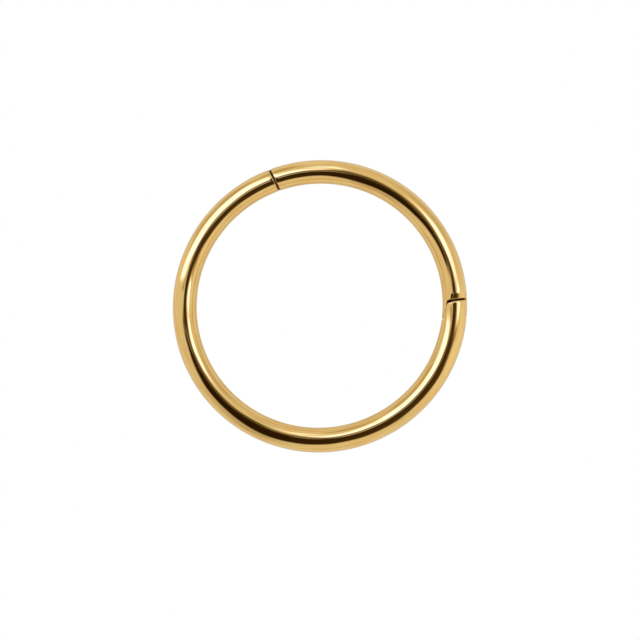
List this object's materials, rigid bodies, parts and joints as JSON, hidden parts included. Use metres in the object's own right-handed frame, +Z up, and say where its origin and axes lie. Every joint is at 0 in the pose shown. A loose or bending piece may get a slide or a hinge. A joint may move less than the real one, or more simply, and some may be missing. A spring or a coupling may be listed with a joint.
{
  "type": "hinged hoop earring",
  "caption": "Round-wire hoop earring lying on its side. A short segment of the hoop swings outwards on a hidden pin and closes flush.",
  "frame": {"origin": "below the hoop's centre, on the surface it lies on", "axes": "+Z up along the hoop's axis, +X from the centre towards the hinge"},
  "size_m": [0.0148, 0.0148, 0.0012],
  "materials": {
    "polished_gold": "mirror-polished yellow gold"
  },
  "bodies": {
    "hoop": {"hoop_body": "polished_gold", "hinge_pin": "polished_gold"},
    "segment": {"hinged_segment": "polished_gold"}
  },
  "joints": [
    {"name": "segment_hinge", "type": "hinge", "parent": "hoop", "child": "segment", "pos_m": [0.0071, -0.00036, 0.0006], "axis": [0, 0, -1], "range_deg": [0, 100]}
  ]
}
